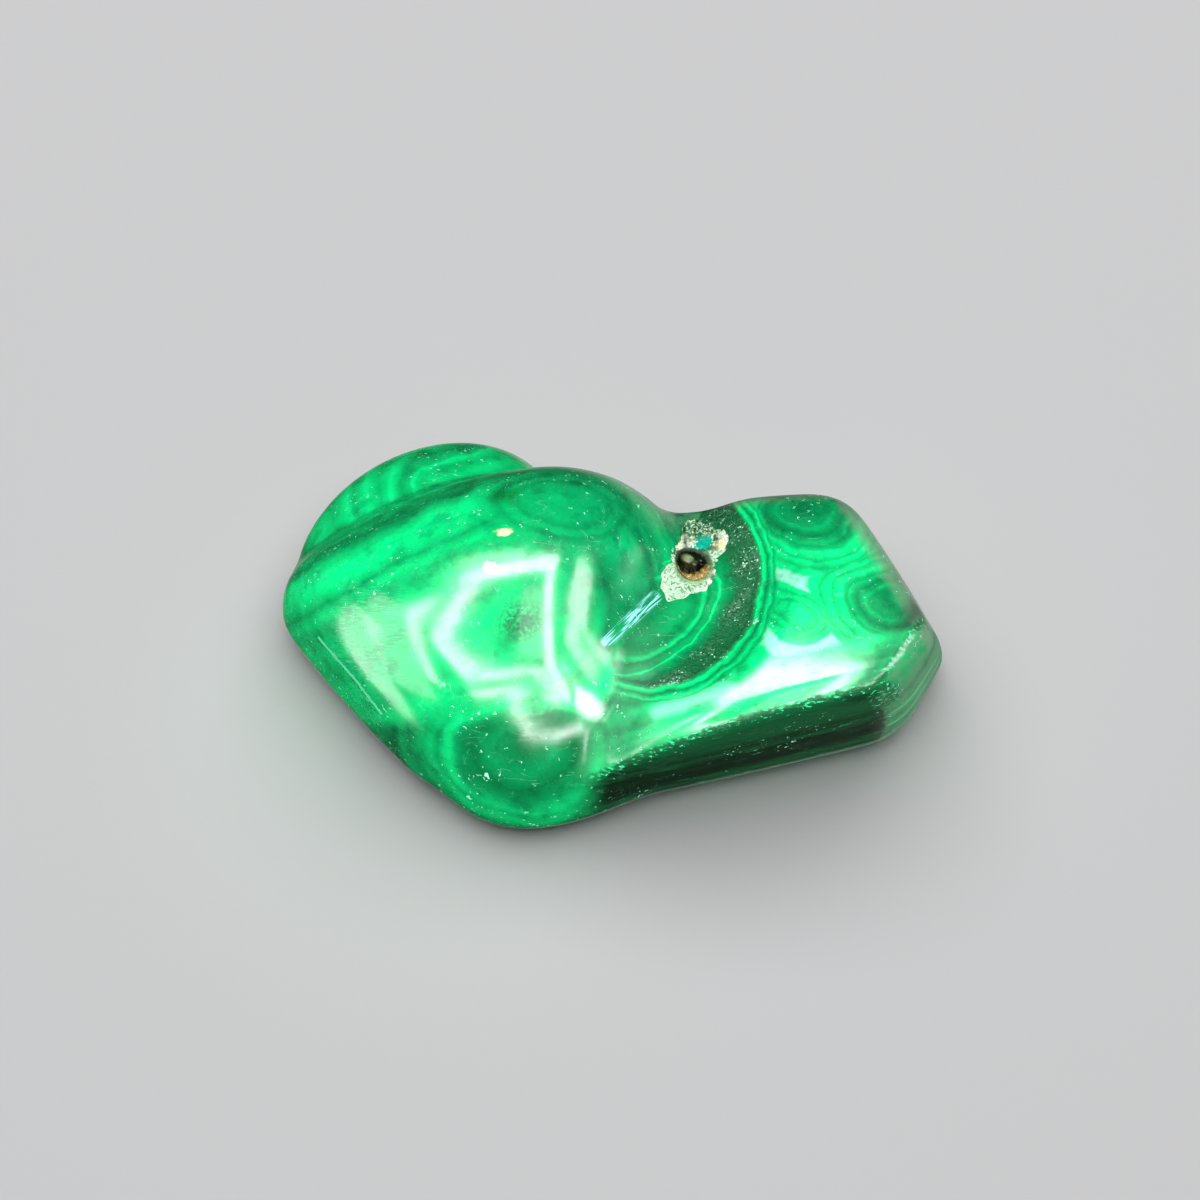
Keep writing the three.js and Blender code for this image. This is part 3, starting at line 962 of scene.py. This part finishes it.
def all_bands(at, zones):
    """The bands of every part of the stone, each in its own place."""
    colour = squarish_end_bands(at, zones)
    colour = mixed(colour, hollow_bands(zones), zones.from_rim.step(13.9, 13.3))
    front_lobe = front_lobe_bands(at)
    under_crest = at.level + (at.side + 11.0).size() * 0.1
    dome = mixed(dome_bands(at, zones), front_lobe, under_crest.step(-3.6, -5.8))
    # Painted shade in the saddle between the front lobe and the squarish end
    colour = tinted(colour, (0.8, 0.68, 0.7), at.side.step(8.0, 1.0) * at.level.step(-3.0, -6.0))
    colour = mixed(colour, front_lobe, at.side.step(3.0, -2.5))
    colour = mixed(colour, dome, zones.on_dome)
    hairpin = from_line(at.grown, *HAIRPIN_LINE)
    behind = at.place.dot((0.0, 1.0, 0.0)).step(7.6, 8.6) * at.side.step(4.0, 0.0)
    return mixed(colour, banded(hairpin, BACK_BANDS), behind * (1.0 - zones.on_dome))


def clouded(colour, at):
    """Clouds and fibres inside the bands, and painted shade darkening the base."""
    cloud = noise(at.place, 0.4, 4.0)
    colour = tinted(colour, (0.7, 0.62, 0.66), cloud.step(0.5, 0.7) * 0.8)
    colour = tinted(colour, (1.6, 1.22, 1.3), cloud.step(0.46, 0.3) * 0.7)
    fibres = noise(at.straight * (1.0, 1.0, 0.15), 2.4, 3.0)
    colour = tinted(colour, (0.8, 0.84, 0.84), fibres.step(0.5, 0.66) * 0.6)
    # Painted shade: darker towards the base
    return tinted(colour, (0.6, 0.5, 0.5), at.tall.step(6.0, 0.5))


def cut_sides(colour, at, zones):
    """Front and right end of the squarish end, cut across the growth: stripes along them, those of the
    front wall darkened with painted shade.
    """
    height = at.place.dot((-0.05, 0.0, 1.0)) + at.wander.dot((0.5, 0.0, 0.5))
    long_grain = noise(at.place * (0.08, 0.08, 1.0), 1.6, 3.0) - 0.5
    # Front wall: stripes darkened with painted shade
    colour = mixed(colour, banded(height + long_grain * 5.0, WALL_BANDS), zones.on_wall)
    colour = mixed(colour, banded(height + long_grain * 3.5, END_BANDS), zones.on_end * 0.9)
    return mixed(colour, END_DUST, zones.on_end * zones.dusty * 0.55)


def worn_edges(colour, zones, chips):
    """Grey-green worn rims of the squarish end, and chips along its edges."""
    colour = mixed(colour, WORN, zones.worn_rim * 0.7)
    colour = tinted(colour, (0.45, 0.36, 0.4), zones.dark_rim * 0.9)
    colour = mixed(colour, SHADE, zones.chipped * chips.step(0.58, 0.48) * 0.85)
    return mixed(colour, CHIP, zones.chipped * chips.step(0.6, 0.64))


def porous_border(colour, at, zones, grain):
    """Dark pits and white grains on the hollow's border, in clusters."""
    colour = mixed(colour, SHADE, zones.porous * 0.5)
    colour = mixed(colour, NIGHT, zones.porous * grain.step(0.5, 0.38) * 0.5)
    clusters = noise(at.place, 0.4, 3.0).step(0.42, 0.62)
    colour = mixed(colour, GRAIN, zones.porous * clusters * grain.step(0.46, 0.6) * 0.7)
    shaken = at.place + bends(at.place, 5.0, 1.0, 0.5)
    return mixed(colour, SPECK, zones.porous * fleck_field(shaken, 3.6, 0.34, 0.95, clusters * 0.3))


def all_flecks(at):
    """Light flecks and small chips of three sizes, more of them in drifts and low at the left."""
    low_edge = at.tall.hump(5.0, 4.0) * at.side.step(6.0, 0.0)
    drift = noise(at.place, 0.18, 3.0).step(0.5, 0.66).maximum(low_edge)
    shaken = at.place + bends(at.place, 3.0, 3.0, 1.1)
    flecks = fleck_field(shaken, 1.1, 0.22, 0.97, drift * 0.08)
    flecks = flecks.maximum(fleck_field(shaken + (31.0, 7.0, 3.0), 2.6, 0.32, 0.97, drift * 0.12))
    return flecks.maximum(fleck_field(shaken + (5.0, 19.0, 8.0), 0.5, 0.17, 0.985, drift * 0.1))


def all_scratches(at):
    """Hair-thin scratches in two directions: where a stretched noise passes its middle."""
    one = (noise(at.place * (0.25, 1.0, 1.0), 0.8, 1.0) - 0.5).size().step(0.0035, 0.001)
    other = (noise(at.straight * (1.2, 0.35, 1.0), 0.9, 1.0) - 0.5).size().step(0.003, 0.001)
    one = one * noise(at.place, 0.45, 1.0).step(0.55, 0.62)
    return one.maximum(other * noise(at.place, 0.5, 1.0).step(0.58, 0.64))


def single_marks(colour, at, zones):
    """Cream patches and a spot, painted highlights on the ridge and on the slope, a painted bluish
    reflection and painted shade in creases.
    """
    upper = from_centre(turned(at.place + at.tremble * 3.4), *UPPER_PATCH)
    lower = from_centre(turned(at.place + at.tremble * 3.0), *LOWER_PATCH)
    colour = mixed(colour, CREAM, upper.minimum(lower).step(0.8, 0.5))
    reflection_streak = from_line(at.straight, *REFLECTION_STREAK_LINE)
    across, up = REFLECTION_STREAK_LINE[1]
    lengthwise, sidewise = at.side * across + at.level * up, at.level * across - at.side * up
    threads = noise(combined(lengthwise, sidewise * 12.0, 0.0), 0.45, 2.0)
    # Painted shade round the painted bluish reflection, which is laid on in threads
    colour = tinted(colour, (0.5, 0.6, 0.62), reflection_streak.step(2.4, 0.8) * 0.8)
    colour = mixed(colour, PAINTED_BLUISH_REFLECTION, reflection_streak.step(0.9, 0.4) * threads.step(0.44, 0.6))
    # Painted highlight along the dome's left shoulder
    ridge, lower_ridge = (from_line(at.straight + at.tremble * 0.8, *line) for line in RIDGE_HIGHLIGHT_LINES)
    colour = mixed(colour, PAINTED_RIDGE_HIGHLIGHT, ridge.minimum(lower_ridge).step(0.2, 0.06) * 0.9)
    # Painted shade in the crease by the hollow and in the notch
    colour = tinted(colour, (0.7, 0.6, 0.66), zones.crease * 0.8)
    colour = tinted(colour, (0.85, 0.85, 0.85), zones.notch)
    # Painted highlight along the top of the front slope
    seam_highlight = from_line(at.straight + at.wander, *SEAM_HIGHLIGHT_LINE)
    colour = mixed(colour, PAINTED_SEAM_HIGHLIGHT, seam_highlight.step(1.1, 0.1) * 0.6)
    spot = from_centre(at.grown, *DULL_SPOT).step(2.9, 0.6)
    return mixed(colour, SPOT, spot * noise(at.place, 2.8, 3.0).step(0.3, 0.6) * 0.8)


def unpolished_share(zones, dust, haze):
    """Where the stone isn't polished: creases, saddle, porous border, cut sides, rims and dust."""
    share = zones.crease.maximum(zones.notch).maximum(zones.saddle)
    for zone, most in ((zones.porous, 0.8), (zones.front_edge, 0.9), (zones.worn_rim, 0.5),
                       (zones.on_end, 0.85), (zones.on_wall, 0.6), (zones.dark_rim, 0.8)):
        share = share.maximum(zone * most)
    return share.maximum(dust.step(0.54, 0.66) * haze.step(0.4, 0.6) * 0.45)


def malachite():
    """Polished malachite: bands round several growth centres, pits, flecks, scratches and haze."""
    material, tree, shader = new_material("polished_malachite")
    at = Places(tree)
    zones = Zones(at)
    chips = noise(at.place * (0.5, 1.0, 1.0), 3.2, 3.0)
    grain = noise(at.place, 3.6, 3.0)
    flecks, scratches = all_flecks(at), all_scratches(at)

    colour = clouded(all_bands(at, zones), at)
    colour = worn_edges(cut_sides(colour, at, zones), zones, chips)
    colour = porous_border(colour, at, zones, grain)
    colour = mixed(colour, FLECK, flecks * 0.9)
    colour = single_marks(colour, at, zones)
    colour = mixed(colour, SCRATCH, scratches * 0.6)

    haze, dust = noise(at.place, 0.3, 3.0), noise(at.place, 5.0, 3.0)
    rough = 0.14 + haze.step(0.35, 0.7) * 0.05 + dust.step(0.5, 0.7) * 0.05 + flecks * 0.3
    height = noise(at.place, 0.3, 2.0) * RIPPLES + zones.porous * grain * PORES
    height = height - scratches * SCRATCH_DEPTH - flecks * FLECK_DEPTH
    height = height + noise(at.straight * (0.4, 6.0, 1.0), 1.0, 2.0) * POLISH_LINES
    normal = bumped(height + zones.chipped * chips * CHIP_DEPTH)

    shader.inputs["IOR"].default_value = MALACHITE_IOR
    plug(tree, shader.inputs["Roughness"], rough)
    dull = tree.nodes.new("ShaderNodeBsdfPrincipled")
    dull.inputs["Roughness"].default_value = 0.5
    dull.inputs["Specular IOR Level"].default_value = 0.2
    blend_shaders(tree, shader, dull, unpolished_share(zones, dust, haze), colour, normal)
    return material


def fleck_field(place, scale, size, rarity, drift):
    """Small spots in the few cells of the given scale whose own number is above the rarity."""
    distance, number = (
        add_node(place.tree, "ShaderNodeTexVoronoi", {"feature": "F1"},
                 {"Vector": place, "Scale": scale, "Randomness": 1.0}, output)
        for output in ("Distance", "Color"))
    chosen = (number.dot((1.0, 0.0, 0.0)) + drift).step(rarity, rarity + 0.03)
    return (distance - chosen * size).step(0.0, -0.05) * chosen


def crust_material():
    """Dull chalky crust with a glossy lining in the pit, darkened there with painted shade, coloured by
    the crust's own corners.
    """
    material, tree, shader = new_material("weathered_crust")
    looks, rough = (
        add_node(tree, "ShaderNodeAttribute", {"attribute_name": "crust_looks"}, None, output)
        for output in ("Color", "Alpha"))
    place = add_node(tree, "ShaderNodeTexCoord", None, None, "Object") * (1 / MM)
    grain = noise(place, 7.0, 3.0)
    plug(tree, shader.inputs["Roughness"], rough)
    chalk = tree.nodes.new("ShaderNodeBsdfPrincipled")
    chalk.inputs["Roughness"].default_value = 0.8
    chalk.inputs["Specular IOR Level"].default_value = 0.08
    colour = tinted(looks, (0.45, 0.45, 0.45), grain.step(0.5, 0.66))
    blend_shaders(tree, shader, chalk, rough.step(0.3, 0.6), colour, bumped(grain * CRUST_GRAIN))
    return material


def new_material(name):
    """A new material, its node tree and its own shader."""
    material = bpy.data.materials.new(name)
    material.use_nodes = True
    return material, material.node_tree, material.node_tree.nodes["Principled BSDF"]


def blend_shaders(tree, glossy, dull, share, colour, normal):
    """Gives both shaders the colour and normal, and shows the dull one where share is 1."""
    for part in (glossy, dull):
        plug(tree, part.inputs["Base Color"], colour)
        plug(tree, part.inputs["Normal"], normal)
    both = add_node(
        tree, "ShaderNodeMixShader", None,
        {0: share, 1: Field(tree, glossy.outputs[0]), 2: Field(tree, dull.outputs[0])})
    plug(tree, tree.nodes["Material Output"].inputs["Surface"], both)


# Camera and light

def camera_axes():
    """Right, up and back of the camera."""
    rise = math.radians(CAMERA_RISE)
    back = np.array([0.0, -math.cos(rise), math.sin(rise)])
    right = np.array([1.0, 0.0, 0.0])
    return right, np.cross(back, right), back


def facing_matrix(place, right, up, back):
    """Puts something that looks along -back, with the given right and up, at a place in
    millimetres."""
    turn = Matrix((right, up, back)).transposed()
    return Matrix.Translation((place - FOOTPRINT_MIDDLE) * MM) @ turn.to_4x4()


def add_camera():
    """The photograph's camera."""
    right, up, back = camera_axes()
    lens = bpy.data.cameras.new("camera")
    lens.sensor_width = SENSOR
    lens.lens = SENSOR * CAMERA_DISTANCE / FRAME_SPAN
    lens.clip_start, lens.clip_end = CLIP_METRES
    made = bpy.data.objects.new("camera", lens)
    made.matrix_world = facing_matrix(CAMERA_AIM + back * CAMERA_DISTANCE, right, up, back)
    bpy.context.scene.collection.objects.link(made)
    bpy.context.scene.camera = made


def add_panel(name, centre, right, up, width, height, radiance):
    """A rectangular light of the given radiance that shines along -(right x up)."""
    lamp = bpy.data.lights.new(name, "AREA")
    lamp.shape = "RECTANGLE"
    lamp.size = width * MM
    lamp.size_y = height * MM
    lamp.energy = radiance * math.pi * width * MM * height * MM
    made = bpy.data.objects.new(name, lamp)
    made.matrix_world = facing_matrix(centre, right, up, np.cross(right, up))
    bpy.context.scene.collection.objects.link(made)
    return made


def direction_off_axis(across, rise):
    """Direction so many degrees to the right of and above the line from the stone to the camera."""
    right, up, back = camera_axes()
    turn = math.hypot(across, rise)
    aside = (right * across + up * rise) / turn
    return back * math.cos(math.radians(turn)) + aside * math.sin(math.radians(turn))


def add_strip(name, start, end, width, radiance):
    """A strip of light between two directions off the camera's line of sight, in degrees."""
    low, high = (direction_off_axis(*place) * LIGHT_DISTANCE for place in (start, end))
    length = np.linalg.norm(high - low)
    along = (high - low) / length
    toward = (low + high) / np.linalg.norm(low + high)
    side = np.cross(along, toward)
    side /= np.linalg.norm(side)
    return add_panel(name, CAMERA_AIM + (low + high) / 2, side, along,
                     2 * LIGHT_DISTANCE * math.tan(math.radians(width / 2)), length, radiance)


def light_only(lamps, name, pieces):
    """Makes the lamps light the given pieces and nothing else."""
    lit = bpy.data.collections.new(name)
    for piece in pieces:
        lit.objects.link(piece)
    for lamp in lamps:
        lamp.light_linking.receiver_collection = lit


def add_lights(pieces, floor):
    """A square frame of bars round the camera's line of sight, strips at its sides, and a fill. The
    bars and strips light the stone and not the floor, which has a lamp of its own and stays plain."""
    right, up, back = camera_axes()
    lamps = []
    for name, x0, x1, y0, y1, radiance in FRAME_BARS:
        centre = CAMERA_AIM + back * LIGHT_DISTANCE + right * (x0 + x1) / 2 + up * (y0 + y1) / 2
        lamps.append(add_panel(name, centre, right, up, x1 - x0, y1 - y0, radiance))
    for name, start, end, width, radiance in SIDE_STRIPS:
        lamps.append(add_strip(name, start, end, width, radiance))
    light_only(lamps, "lit_by_bars_and_strips", pieces)
    across, ahead, _ = np.eye(3)
    fill, floor_fill = (
        add_panel(name, CAMERA_AIM + FILL_PLACE, across, ahead, FILL_SIZE, FILL_SIZE, radiance)
        for name, radiance in FILLS)
    fill.visible_glossy = floor_fill.visible_glossy = False
    light_only([floor_fill], "lit_by_floor_fill", [floor])
    add_room()


def add_room():
    """A dark room, grey only low behind the stone and low to its right."""
    world = bpy.data.worlds.new("studio")
    world.use_nodes = True
    tree = world.node_tree
    toward = add_node(tree, "ShaderNodeTexCoord", None, None, "Generated")
    behind = toward.dot((0.0, 0.6, -1.0)) + toward.dot((0.6, 0.0, 0.0)).maximum(0.0)
    plug(tree, tree.nodes["Background"].inputs["Color"],
         mixed(ROOM_DARK, ROOM_GREY, behind.step(1.04, 1.2)))
    bpy.context.scene.world = world


def add_floor():
    """A plain pale floor, in metres."""
    mesh = bpy.data.meshes.new("floor")
    corners = [(x * FLOOR_HALF, y * FLOOR_HALF, 0) for x, y in ((-1, -1), (1, -1), (1, 1), (-1, 1))]
    mesh.from_pydata(corners, [], [(0, 1, 2, 3)])
    made = bpy.data.objects.new("floor", mesh)
    material, _, shader = new_material("pale_floor")
    shader.inputs["Base Color"].default_value = (*FLOOR_COLOUR, 1.0)
    shader.inputs["Roughness"].default_value = 0.9
    mesh.materials.append(material)
    bpy.context.scene.collection.objects.link(made)
    made.visible_glossy = False
    return made


stone = build_stone()
stone.data.materials.append(malachite())
crust = build_crust()
crust.data.materials.append(crust_material())
for piece, node, slot in (
        (stone, "malachite_stone", "polished_malachite"), (crust, "pit_crust", "weathered_crust")):
    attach(piece, "root")
    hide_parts(node)
add_lights([stone, crust], add_floor())
add_camera()
bpy.context.scene.view_settings.view_transform = "Standard"
